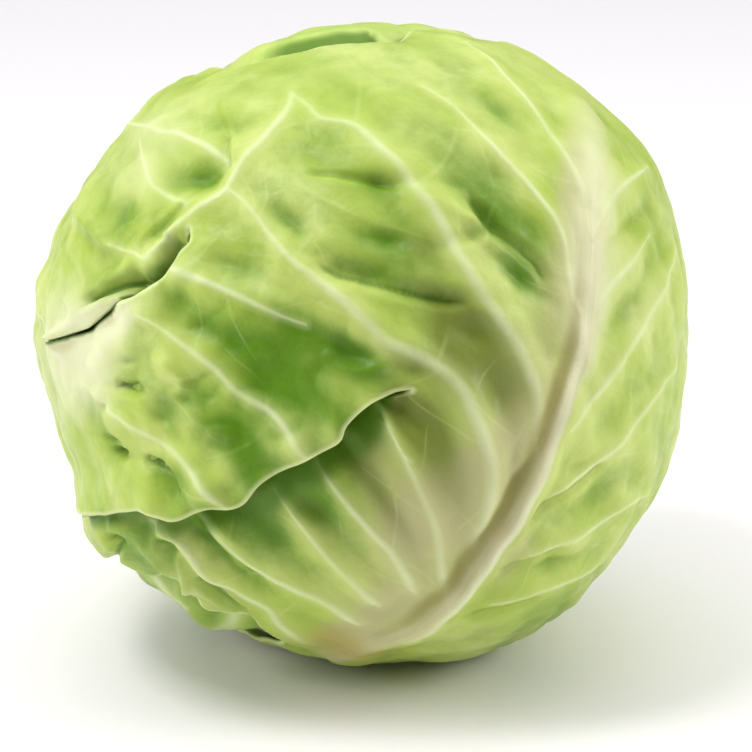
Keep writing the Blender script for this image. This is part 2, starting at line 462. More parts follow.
class Split:
    """A tear into the front leaf, from its inner end to the margin."""

    def __init__(self, line, across, top_side, strength):
        self.line = line
        self.across = unit(np.asarray(across, dtype=float) @ np.stack((RIGHT, UPWARD)))
        self.top_side = top_side
        self.strength = strength

    def both_sides(self):
        """The outline into the tear along one side and out along the other."""
        normal = unit(np.cross(np.gradient(self.line, axis=0), self.line))
        width = SLIT_HALF_WIDTH / HEAD_RADIUS * np.minimum(np.arange(len(self.line)) / 3.0, 1.0)
        right = unit(self.line + normal * width[:, None])
        left = unit(self.line - normal * width[:, None])
        return right, left

    def opened(self, directions):
        """How far each point moves out and across where the tear's edges part."""
        distance, along, side = nearest_on(self.line, directions)
        open_here = smooth(along / TEAR_START) * self.strength(along)
        over = side * self.top_side(along) * open_here
        lift = np.where(over > 0, over * EDGE_LIFT * (1 - smooth(distance / LIFT_REACH)),
                        over * EDGE_DROP * (1 - smooth(distance / DROP_REACH)))
        tucked = smooth((-over - SLIDE_FROM) / SLIDE_SPAN)
        slide = -side * tucked * EDGE_SLIDE * (1 - smooth(distance / SLIDE_REACH))
        dark = smooth((-over - 0.1) / 0.3) * (1 - smooth((distance - tucked * EDGE_SLIDE) / 7.0))
        dark = np.maximum(dark, smooth(-over / 0.1) * (1 - smooth(distance / 1.6)))
        return lift, slide[:, None] * self.across, dark

    def pocket(self, directions):
        """How much deeper the leaves below lie, to clear the tucked edge."""
        distance, along, _ = nearest_on(self.line, directions)
        depth = EDGE_DROP * self.strength(along) + POCKET_ROOM
        fade = 1 - smooth((distance - POCKET_FLOOR) / POCKET_SIDES)
        return depth * fade * smooth(0.5 + along / TEAR_START)


class Leaf:
    """One wrapper leaf: its margin, its veins, and how it lies over what is beneath it."""

    def __init__(self, name, centre, margin, midrib, strong, faint, splits=(), lip=None, pale_base=1.0, seed=1):
        self.name = name
        self.pale_base = pale_base
        self.centre = centre
        self.margin = margin
        self.midrib = midrib
        self.strong = strong
        self.faint = faint
        self.splits = splits
        self.lip = lip
        self.seed = seed
        self.flat_margin = chart(margin, centre)
        self.rib_length = HEAD_RADIUS * np.linalg.norm(np.diff(midrib, axis=0), axis=1).sum()

    def edge_distance(self, directions):
        """Distance in from the margin in mm, below 0 outside it."""
        closed = np.concatenate((self.margin, self.margin[:1]))
        distance = nearest_on(closed, directions)[0]
        within = inside(chart(directions, self.centre), self.flat_margin)
        within &= directions @ self.centre > -0.85
        return np.where(within, distance, -distance)

    def thickness(self, directions):
        """The blade's thickness, more along the lower midrib."""
        distance, along, _ = nearest_on(self.midrib, directions)
        fade = 1.0 - smooth((along * self.rib_length - 8.0) / RIB_REACH)
        return BLADE + RIB_DEPTH * fade * ridge(distance, RIB_HALF_WIDTH)

    def dip(self, directions):
        """How far the leaf drops into the slit behind another leaf's lip."""
        if self.lip is None:
            return np.zeros(len(directions))
        distance, along, _ = near_line(self.lip, directions, 40.0)
        ends = smooth(along / 0.2) * smooth((1 - along) / 0.2)
        return SLIT_DIP * ends * (1 - smooth((distance - SLIT_BACK) / SLIT_RISE))

    def room(self, directions, edge):
        """How much deeper this leaf makes everything below it lie."""
        depth = self.thickness(directions) + LEAF_GAP
        for split in self.splits:
            depth = depth + split.pocket(directions)
        return depth * smooth(edge / RAMP + 1.0) + self.dip(directions)


def wandering(line, amount):
    """A stretch of margin with small bays and lobes, none at its ends."""
    fade = np.sqrt(np.sin(np.linspace(0.0, math.pi, len(line))).clip(0.0))
    drift = np.array([noise.noise_vector(Vector(point) * WANDER_SCALE) for point in line])
    return unit(line + drift * (fade * amount / HEAD_RADIUS)[:, None])


def outline(*stretches):
    """A closed margin from stretches of directions, each with how far it wanders in mm."""
    ring = []
    for directions, wander in stretches:
        line = wandering(on_head(directions, OUTLINE_STEP), wander)
        ring.extend(line if not ring or np.linalg.norm(line[0] - ring[-1]) > 0.004 else line[1:])
    if np.linalg.norm(ring[0] - ring[-1]) < 0.004:
        ring.pop()
    return np.array(ring)


def joined(*parts):
    """One row of directions from several."""
    return np.concatenate([np.atleast_2d(part) for part in parts])


def walk(place, heading, aside, bend, length, seed):
    """A vein's way over the head from a place: aside of a heading in degrees, and bending back to it."""
    steps = max(3, round(length / VEIN_STRIDE))
    path = [place]
    for k in range(steps):
        wobble = VEIN_WOBBLE * noise.noise(Vector((seed, 0.45 * k, 0.5)))
        angle = math.radians(aside * (1.0 - bend * k / steps) + wobble)
        way = heading * math.cos(angle) + np.cross(heading, place) * math.sin(angle)
        place = unit(place + way * VEIN_STRIDE / HEAD_RADIUS)
        heading = unit(heading - place * (heading @ place))
        path.append(place)
    return on_head(np.array(path), VEIN_STEP)


def side_veins(line, every, aside, bend, length, seed, until=1.0):
    """Veins that leave a line, every so many mm, to its left and right by turns."""
    ways = unit(np.gradient(line, axis=0))
    step = max(1, round(every / VEIN_STEP))
    veins = []
    for number, k in enumerate(range(max(1, step // 2), round(until * len(line)) - 2, step)):
        side = 1 if number % 2 else -1
        jitter = noise.noise(Vector((seed, 1.7 * number, 2.5)))
        reach = length * (1.0 - 0.7 * k / len(line)) * (1.0 + 0.4 * jitter)
        veins.append(walk(line[k], ways[k], side * (aside + 24 * jitter), bend, reach, seed + number))
    return veins


def branching(turn, reach, seed):
    """Midrib and forked side veins of a leaf that the front view hides, on the side that turn gives."""
    away = np.linspace(LEAF_BASE_ANGLE + 1, reach, 9)
    sway = HIDDEN_SWAY * np.sin(np.radians(away * 3))
    midrib = on_head(round_stem(turn + sway, away), VEIN_STEP)
    strong = [(1.7, 0.4, vein) for vein in side_veins(midrib, HIDDEN_EVERY, 52, 0.5, HIDDEN_LENGTH, seed, 0.85)]
    faint = []
    for number, (_, _, vein) in enumerate(strong):
        faint += [(0.8, 0.25, fork) for fork in side_veins(vein, 17.0, 34, 0.3, 46.0, seed + 20 * number)]
    return midrib, strong, faint


def flap_over_blade(along):
    """The lower tear's flap lies over the blade below it all the way."""
    return np.ones_like(along)


def flap_then_lobe(along):
    """The upper tear's flap lies on top near its inner end, the lobe above it near the margin."""
    return 2.0 * smooth((along - 0.15) / 0.16) - 1.0


def lower_opening(along):
    """The lower tear stands widest open near its inner end."""
    return 1.0 - 0.5 * smooth((along - 0.35) / 0.25) - 0.38 * smooth((along - 0.62) / 0.14)


def upper_opening(along):
    """The upper tear is half as open, and nearly shut towards the margin."""
    return 0.6 - 0.48 * smooth((along - 0.16) / 0.16)


def front_leaf():
    """The outermost leaf, torn into three lobes on its left."""
    lower = Split(on_head(joined(seen(LOWER_SPLIT), toward((-88, -31), (-101, -33))), SPLIT_STEP),
                  (-0.3, 0.95), flap_over_blade, lower_opening)
    upper = Split(on_head(joined(seen(UPPER_SPLIT), toward((-96, 10), (-110, 13))), SPLIT_STEP),
                  (-0.55, 0.83), flap_then_lobe, upper_opening)
    lower_right, lower_left = lower.both_sides()
    upper_right, upper_left = upper.both_sides()
    base = leaf_base(-75, 95)
    right_side = toward((104, -60), (122, -44), (131, -22), (134, 4), (131, 28), (125, 48))
    left_top = toward((-112, 52), (-116, 38), (-113, 24))
    left_middle = toward((-112, 2), (-115, -12), (-108, -25))
    left_low = toward((-96, -38), (-84, -39))
    lip = seen(TOP_LIP)
    margin = outline(
        (base, 0.0),
        (joined(base[-1], right_side, lip[0]), 3.0),
        (lip, 0.0),
        (joined(lip[-1], left_top, upper_right[-1]), 3.0),
        (upper_right[::-1], 0.0),
        (upper_left, 0.0),
        (joined(upper_left[-1], left_middle, lower_right[-1]), 3.0),
        (lower_right[::-1], 0.0),
        (lower_left, 0.0),
        (joined(lower_left[-1], left_low, seen(LOWER_FRILL), toward((-58, -62)), base[0]), 0.0),
    )
    strong = [(first, last, on_head(seen(line), VEIN_STEP)) for first, last, line in STRONG_VEINS]
    faint = [(first, last, on_head(seen(line), VEIN_STEP)) for first, last, line in FAINT_VEINS]
    for number, (_, _, vein) in enumerate(strong):
        faint += [(0.4, 0.18, thread) for thread in side_veins(vein, 11.0, 46, 0.4, 26.0, 3 + 40 * number)]
    midrib = on_head(seen(MIDRIB), VEIN_STEP)
    return Leaf("leaf_front", toward((8, 0))[0], margin, midrib, strong, faint, (lower, upper), seed=3)


def back_leaf():
    """The second leaf, behind, which dips under the front leaf's lip."""
    base = leaf_base(112, 262)
    left_side = toward((-104, -54), (-93, -38), (-89, -20), (-92, 0), (-94, 20), (-92, 40), (-88, 58))
    lip = seen([(-40, 72), (-30, 75), (-20, 77), (-10, 79), (0, 80), (9, 80), (20, 79), (31, 77), (41, 73)])
    right_side = toward((106, 50), (112, 38), (116, 20), (116, 0), (117, -22), (120, -42), (122, -56))
    margin = outline((base, 0.0), (joined(base[-1], left_side, lip[0]), 2.0), (lip, 0.0),
                     (joined(lip[-1], right_side, base[0]), 3.0))
    midrib, strong, faint = branching(183, 144, 4)
    slit = on_head(seen([(14, 85.5), (10, 84.4), (0, 83.7), (-10, 82.8), (-20, 80.3), (-30, 78), (-36, 76)]), 2.0)
    return Leaf("leaf_back", toward((183, 0))[0], margin, midrib, strong, faint, lip=slit, seed=5)


def left_leaf():
    """The third leaf, on the left under the front leaf's lobes."""
    base = leaf_base(-128, 2)
    edge = toward((14, -58), (28, -36), (34, -10), (35, 15), (30, 40), (14, 60), (-12, 71), (-50, 74),
                  (-92, 68), (-116, 50), (-122, 25), (-124, 0), (-122, -25), (-112, -46), (-104, -58))
    margin = outline((base, 0.0), (joined(base[-1], edge, base[0]), 3.0))
    midrib, strong, faint = branching(-43, 140, 60)
    return Leaf("leaf_left", toward((-43, 0))[0], margin, midrib, strong, faint, pale_base=0.15, seed=7)


def right_leaf():
    """The fourth leaf, on the right, which closes the crown under the others' lips."""
    base = leaf_base(20, 170)
    edge = toward((162, -58), (172, -32), (176, 0), (174, 30), (170, 55), (-178, 74), (-110, 72), (-60, 66),
                  (-20, 60), (10, 44), (26, 20), (32, 0), (32, -28), (28, -54))
    margin = outline((base, 0.0), (joined(base[-1], edge, base[0]), 3.0))
    midrib, strong, faint = branching(95, 150, 130)
    return Leaf("leaf_right", toward((95, 8))[0], margin, midrib, strong, faint, seed=9)


def scattered(spacing):
    """Directions spread evenly over the whole head."""
    count = round(4 * math.pi * HEAD_RADIUS ** 2 / (0.866 * spacing ** 2))
    rank = np.arange(count) + 0.5
    height = 1.0 - 2.0 * rank / count
    turn = rank * math.pi * (3.0 - math.sqrt(5.0))
    across = np.sqrt(1.0 - height ** 2)
    return np.stack((across * np.cos(turn), across * np.sin(turn), height), axis=1)


def tree_of(places):
    """A search tree over the places."""
    tree = kdtree.KDTree(len(places))
    for index, place in enumerate(places.tolist()):
        tree.insert(place, index)
    tree.balance()
    return tree


def along_lines(lines, spacing):
    """Directions at a spacing along lines, none nearer than that to one of an earlier line."""
    taken = []
    for line in lines:
        knots = line * HEAD_RADIUS
        reached = np.concatenate(([0.0], np.cumsum(np.linalg.norm(np.diff(knots, axis=0), axis=1))))
        marks = np.arange(0.0, reached[-1], spacing)
        points = unit(np.stack([np.interp(marks, reached, line[:, axis]) for axis in range(3)], axis=1))
        if taken:
            tree = tree_of(np.concatenate(taken))
            limit = 0.75 * spacing / HEAD_RADIUS
            points = points[[tree.find(point)[2] > limit for point in points.tolist()]]
        if len(points):
            taken.append(points)
    return np.concatenate(taken)


def spread_over(leaf, spacing, lines=()):
    """Directions and triangles that fill a leaf's margin, with points along each of the lines.

    The third result says where the margin's points are among the directions.
    """
    fill = scattered(spacing)
    if lines:
        crests = along_lines(lines, spacing)
        tree = tree_of(crests)
        limit = 0.62 * spacing / HEAD_RADIUS
        apart = [tree.find(point)[2] > limit for point in fill.tolist()]
        fill = np.concatenate((crests, fill[apart]))
    keep = leaf.edge_distance(fill) > 0.55 * spacing
    sites = np.concatenate((leaf.margin, fill[keep]))
    flat = [Vector(point) for point in chart(sites, leaf.centre)]
    count = len(leaf.margin)
    found = geometry.delaunay_2d_cdt(flat, [], [list(range(count))], 1, 1e-7)
    directions = np.array([sites[origin[0]] for origin in found[3]])
    place_of = {origin[0]: index for index, origin in enumerate(found[3]) if origin[0] < count}
    return directions, np.array(found[2]), np.array([place_of[k] for k in range(count)])


def vein_field(veins, directions, height):
    """How near each place is to a vein in half widths, how high the veins stand, and the distance in mm."""
    nearest = np.full(len(directions), 8.0)
    away = np.full(len(directions), 14.0)
    raised = np.zeros(len(directions))
    for first, last, line in veins:
        distance, along, _ = near_line(line, directions, 14.0)
        half_width = last + (first - last) * (1.0 - along) ** 1.7
        fade = smooth(0.3 + along / 0.14) * (1.0 - smooth((along - 0.65) / 0.35))
        nearest = np.minimum(nearest, distance / half_width + 0.8 * (1.0 - fade))
        away = np.minimum(away, distance + 5.0 * (1.0 - fade))
        shape = 0.22 * ridge(distance, 1.9 * half_width) + 0.7 * ridge(distance, 6.0 * half_width)
        raised = np.maximum(raised, height * half_width * (0.3 + 0.7 * fade) * shape)
    return nearest, raised, away


def surface(leaf, above, directions):
    """Where the leaf's outer face lies, its blade's thickness there, and the colour areas on it."""
    edge = leaf.edge_distance(directions)
    radius = head_radius(directions) - leaf.dip(directions)
    bare = np.ones(len(directions))
    under = np.zeros(len(directions))
    for cover in above:
        cover_edge = cover.edge_distance(directions)
        radius = radius - cover.room(directions, cover_edge)
        bare *= 1.0 - smooth(cover_edge / RAMP + 1.0)
        under = np.maximum(under, smooth(cover_edge / UNDER_REACH + 1.0))
    rib_distance, rib_along, rib_side = nearest_on(leaf.midrib, directions)
    wider = 3.4 if leaf.splits else -2.2
    rib_width = 3.2 + 4.0 * smooth(1 - rib_along / 0.24) + wider * smooth((rib_along - 0.5) / 0.3)
    vein, height, away = vein_field(leaf.strong, directions, 0.6)
    thread, thread_height, _ = vein_field(leaf.faint, directions, 0.4)
    height = np.maximum(height, thread_height)
    rib_across = rib_distance * rib_side
    lean = np.where(rib_across < 1.5, 1.3, 2.3) * rib_width
    rib_rise = (0.8 + 1.6 * smooth(rib_along / 0.25)) * (1.0 - 0.7 * smooth((rib_along - 0.2) / 0.6))
    height = np.maximum(height, rib_rise * ridge(np.abs(rib_across - 1.5), lean))
    sag = smooth(np.minimum(away, 0.8 * rib_distance) / SAG_REACH)
    resting = smooth((-directions[:, 2] - 0.75) / 0.2)
    height = height + SAG * (1 - 0.4 * resting - sag * (1 - resting))
    bend = rough(directions, 11.0, leaf.seed + 8) * 0.03
    pillows = np.abs(rough(directions + bend[:, None], 10.0, leaf.seed)) * 2.4 - 0.7
    bumps = 0.8 * rough(directions, 17.0, leaf.seed + 1) + 0.75 * pillows
    bumps = bumps + 0.25 * rough(directions, 5.0, leaf.seed + 2)
    facets = {"vein": vein, "thread": thread, "rim": np.clip(edge, 0.0, 8.0)}
    pale_right = 1.5 + 5.0 * smooth((rib_along - 0.5) / 0.25) if leaf.splits else rib_width
    pale_width = np.where(rib_across < 0, rib_width, pale_right)
    facets["rib"] = np.exp(-(rib_distance / pale_width) ** 2) * (1 - smooth((rib_along - 0.6) / 0.4))
    facets["rib_across"] = rib_across
    facets["rib_along"] = rib_along * leaf.rib_length
    lit_length = smooth(rib_along / 0.3) * (1 - smooth((rib_along - 0.55) / 0.25))
    crest_place = 1.6 - 2.4 * smooth((rib_along - 0.35) / 0.3)
    facets["crest"] = lit_length * np.exp(-((rib_across - crest_place) / 1.3) ** 2)
    facets["olive"] = lit_length * np.exp(-((rib_across + 3.6) / 2.6) ** 2)
    dark = under
    shift = np.zeros_like(directions)
    if leaf.splits:
        across, up, facing = pictured(directions)
        bumps = bumps * (0.3 + 1.1 * areas(across, up, facing, BUMPY))
        fold_way = math.cos(FOLD_WAY) * RIGHT + math.sin(FOLD_WAY) * UPWARD
        drawn_out = directions - FOLD_STRETCH * (directions @ fold_way)[:, None] * fold_way
        folds = rough(drawn_out, 8.0, leaf.seed + 11)
        bumps = bumps + FOLD_HEIGHT * folds
        hollows = areas(across, up, facing, [hollow[:6] for hollow in HOLLOWS])
        height = height + 1.8 * hollows + 1.3 * areas(across, up, facing, SWELLINGS) + bumps
        for half_width, depth, line in CREASES:
            distance, along, _ = near_line(on_head(seen(line), 1.5), directions, 8.0)
            ends = smooth(along / 0.15) * smooth((1 - along) / 0.15)
            height = height + 1.5 * depth * ends * ridge(distance, 2.4 * half_width)
            floor = ends * ridge(distance, 1.3 * half_width) * min(1.0, max(0.0, -0.6 * depth))
            dark = np.maximum(dark, floor)
        for split in leaf.splits:
            lift, slide, shade = split.opened(directions)
            radius = radius + lift
            shift = shift + slide
            dark = np.maximum(dark, shade)
            facets["rim"] = np.maximum(facets["rim"], 3.0 * shade)
        deep = [(*hollow[:5], hollow[6]) for hollow in HOLLOWS]
        greener = 1.05 * (1 - np.exp(-1.3 * areas(across, up, facing, deep + DEEP)))
        facets["deep"] = greener - 0.32 * bumps + 0.4 * (sag - 0.5)
        facets["cream"] = areas(across, up, facing, CREAM) + 0.08 * bumps - 0.15 * sag
        facets["rose"] = areas(across, up, facing, ROSE)
        facets["ochre"] = areas(across, up, facing, OCHRE)
        facets["moss"] = areas(across, up, facing, MOSS) * (0.75 - 0.35 * folds + 0.35 * sag)
    else:
        facets["moss"] = np.zeros(len(directions))
        height = height + bumps * 0.6
        facets["deep"] = 0.5 * rough(directions, 30.0, leaf.seed + 3) - 0.22 * bumps + 0.5 * sag
        if leaf.lip is not None:
            behind, lip_along, _ = near_line(leaf.lip, directions, 40.0)
            facets["deep"] -= 1.0 * (1 - smooth((behind - 14.0) / 20.0))
            ends = smooth(lip_along / 0.25) * smooth((1 - lip_along) / 0.25)
            dark = np.maximum(dark, ends * (1 - smooth((behind - SLIT_DARK) / 7.0)))
        facets["cream"] = 0.1 + 0.45 * rough(directions, 40.0, leaf.seed + 5)
        base_fade = leaf.pale_base * (1 - smooth(rib_along / 0.45))
        facets["rose"] = base_fade * np.exp(-(rib_distance / 22.0) ** 2)
        facets["ochre"] = 0.4 * (1 - smooth(rib_along / 0.12)) * np.exp(-(rib_distance / 16.0) ** 2) * leaf.pale_base
        for name in ("rib", "crest", "olive"):
            facets[name] *= leaf.pale_base
    from_stem = np.degrees(np.arccos(np.clip(directions @ -APEX, -1.0, 1.0)))
    near_edge = (1.0 - smooth(edge / MARGIN_WAVE_REACH)) * smooth((from_stem - 28.0) / 20.0)
    if leaf.splits:
        near_edge = near_edge * (1.0 - 0.8 * smooth((up - 68.0) / 8.0) * smooth((across + 60.0) / 20.0))
    waves = 0.4 + rough(directions, 15.0, len(leaf.name)) + 0.5 * rough(directions, 6.0, leaf.seed + 4)
    height = height + MARGIN_WAVE * near_edge * waves
    facets["dark"] = dark
    lining = radius + np.minimum(height, 0.3) * bare
    radius = radius + height * bare - MARGIN_ROUND * (1 - smooth(edge / 0.9))
    blade = leaf.thickness(directions)
    blade = np.minimum(blade, MARGIN_BLADE + (blade - MARGIN_BLADE) * smooth(edge / 4.0))
    lining = np.minimum(lining, radius) - blade
    return radius, lining, shift, facets


def placed(directions, radius, shift):
    """Places in mm over the resting surface, and none below it."""
    spots = unit(directions * HEAD_RADIUS + shift) * radius[:, None] + MIDDLE
    spots[:, 2] = np.maximum(spots[:, 2], 0.0)
    return spots


def leaf_piece(leaf, above, spacing, lining_spacing):
    """A leaf as one closed blade: a fine outer face, a plainer lining and the rim between them."""
    outer, faces, ring = spread_over(leaf, spacing, [vein[2] for vein in (*leaf.strong, *leaf.faint)])
    inner, inner_faces, inner_ring = spread_over(leaf, lining_spacing)
    radius, _, shift, facets = surface(leaf, above, outer)
    _, lining, inner_shift, inner_facets = surface(leaf, above, inner)
    spots = np.concatenate((placed(outer, radius, shift), placed(inner, lining, inner_shift)))
    count = len(outer)
    flat = leaf.flat_margin
    turning = np.sum(flat[:, 0] * np.roll(flat[:, 1], -1) - np.roll(flat[:, 0], -1) * flat[:, 1])
    if turning < 0:
        ring, inner_ring = ring[::-1], inner_ring[::-1]
    low = inner_ring + count
    ahead, low_ahead = np.roll(ring, -1), np.roll(low, -1)
    rim = np.concatenate((np.stack((ahead, ring, low), axis=1), np.stack((ahead, low, low_ahead), axis=1)))
    triangles = np.concatenate((faces, inner_faces[:, ::-1] + count, rim))
    mesh = bpy.data.meshes.new(leaf.name + "_skin")
    mesh.from_pydata((spots * MM).tolist(), [], triangles.tolist())
    for name, values in facets.items():
        layer = mesh.attributes.new(name, "FLOAT", "POINT")
        layer.data.foreach_set("value", np.concatenate((values, inner_facets[name])).astype(np.float32))
    mesh.shade_smooth()
    piece = bpy.data.objects.new(leaf.name + "_skin", mesh)
    bpy.context.scene.collection.objects.link(piece)
    return piece


def paint(code):
    """A colour as the shader takes it, from its six-digit screen code."""
    parts = [int(code[i:i + 2], 16) / 255 for i in (0, 2, 4)]
    return tuple(p / 12.92 if p <= 0.04045 else ((p + 0.055) / 1.055) ** 2.4 for p in parts) + (1.0,)


class Nodes:
    """A short way to add and join a tree's nodes."""

    def __init__(self, tree):
        self.tree = tree

    def add(self, kind, **values):
        """A node with its settings and the values or links of its inputs."""
        node = self.tree.nodes.new(kind)
        inputs = values.pop("inputs", {})
        for name, value in values.items():
            setattr(node, name, value)
        for name, value in inputs.items():
            self.feed(node.inputs[name], value)
        return node

    def feed(self, socket, value):
        """Links an output to the socket, or sets the socket's own value."""
        if isinstance(value, bpy.types.NodeSocket):
            self.tree.links.new(value, socket)
        else:
            socket.default_value = value

    def math(self, operation, first, second=0.0, clamp=False):
        """The result of a sum on two values."""
        node = self.add("ShaderNodeMath", operation=operation, use_clamp=clamp)
        self.feed(node.inputs[0], first)
        self.feed(node.inputs[1], second)
        return node.outputs[0]

    def ramp(self, value, low, high, start=0.0, end=1.0):
        """The value eased from one range to another."""
        node = self.add("ShaderNodeMapRange", interpolation_type="SMOOTHSTEP")
        for name, given in (("Value", value), ("From Min", low), ("From Max", high),
                            ("To Min", start), ("To Max", end)):
            self.feed(node.inputs[name], given)
        return node.outputs["Result"]

    def blend(self, share, first, second, kind="MIX"):
        """Two colours mixed by a share."""
        node = self.add("ShaderNodeMix", data_type="RGBA", blend_type=kind)
        self.feed(node.inputs[0], share)
        self.feed(node.inputs[6], first)
        self.feed(node.inputs[7], second)
        return node.outputs[2]

    def texture(self, place, scale, detail=3.0, roughness=0.55, distortion=0.0):
        """Smooth noise read at a place."""
        node = self.add("ShaderNodeTexNoise", inputs={
            "Vector": place, "Scale": scale, "Detail": detail, "Roughness": roughness, "Distortion": distortion})
        return node.outputs["Fac"]


def group(name, takes, gives):
    """An empty shader group with named inputs and outputs, each as (name, kind, value)."""
    tree = bpy.data.node_groups.new(name, "ShaderNodeTree")
    for label, kind, value in takes:
        socket = tree.interface.new_socket(name=label, in_out="INPUT", socket_type=kind)
        if value is not None:
            socket.default_value = value
    for label, kind in gives:
        tree.interface.new_socket(name=label, in_out="OUTPUT", socket_type=kind)
    nodes = Nodes(tree)
    return tree, nodes, nodes.add("NodeGroupInput").outputs, nodes.add("NodeGroupOutput").inputs


def vein_net_group():
    """The net of smallest veins: pale lines between cells that bulge a little."""
    tree, nodes, given, result = group(
        "vein_net",
        [("Place", "NodeSocketVector", None), ("Cells", "NodeSocketFloat", 130.0),
         ("Line", "NodeSocketFloat", 0.09), ("Bend", "NodeSocketFloat", 0.004)],
        [("Lines", "NodeSocketFloat"), ("Bulge", "NodeSocketFloat")])
    bend = nodes.add("ShaderNodeTexNoise", inputs={"Vector": given["Place"], "Scale": 90.0, "Detail": 2.0})
    offset = nodes.add("ShaderNodeVectorMath", operation="SUBTRACT")
    nodes.feed(offset.inputs[0], bend.outputs["Color"])
    offset.inputs[1].default_value = (0.5, 0.5, 0.5)
    scaled = nodes.add("ShaderNodeVectorMath", operation="SCALE")
    nodes.feed(scaled.inputs[0], offset.outputs[0])
    nodes.feed(scaled.inputs["Scale"], given["Bend"])
    place = nodes.add("ShaderNodeVectorMath", operation="ADD")
    nodes.feed(place.inputs[0], given["Place"])
    nodes.feed(place.inputs[1], scaled.outputs[0])
    cells = nodes.add("ShaderNodeTexVoronoi", feature="DISTANCE_TO_EDGE", inputs={
        "Vector": place.outputs[0], "Scale": given["Cells"]})
    away = cells.outputs["Distance"]
    nodes.feed(result["Lines"], nodes.ramp(away, 0.0, given["Line"], 1.0, 0.0))
    nodes.feed(result["Bulge"], nodes.ramp(away, 0.0, 0.4))
    return tree


def wax_group():
    """Cloudy wax over a leaf: how thick it lies and how it changes the gloss."""
    tree, nodes, given, result = group(
        "wax_bloom",
        [("Place", "NodeSocketVector", None), ("Clouds", "NodeSocketFloat", 45.0)],
        [("Cloud", "NodeSocketFloat"), ("Mottle", "NodeSocketFloat"), ("Gloss", "NodeSocketFloat")])
    drawn_out = nodes.add("ShaderNodeMapping", vector_type="TEXTURE", inputs={
        "Vector": given["Place"], "Rotation": (0.0, -FOLD_WAY, 0.0), "Scale": (2.6, 1.4, 1.0)})
    cloud = nodes.texture(drawn_out.outputs[0], given["Clouds"], 5.0, 0.58, 0.3)
    mottle = nodes.texture(given["Place"], 260.0, 4.0, 0.6)
    nodes.feed(result["Cloud"], nodes.ramp(cloud, 0.32, 0.7))
    nodes.feed(result["Mottle"], nodes.ramp(mottle, 0.3, 0.7))
    nodes.feed(result["Gloss"], nodes.ramp(mottle, 0.2, 0.8, 0.34, 0.5))
    return tree


LEAF_PARTS = ("vein", "thread", "rib", "rib_across", "rib_along", "crest", "olive", "rim", "deep", "cream", "rose",
              "moss", "ochre", "dark")


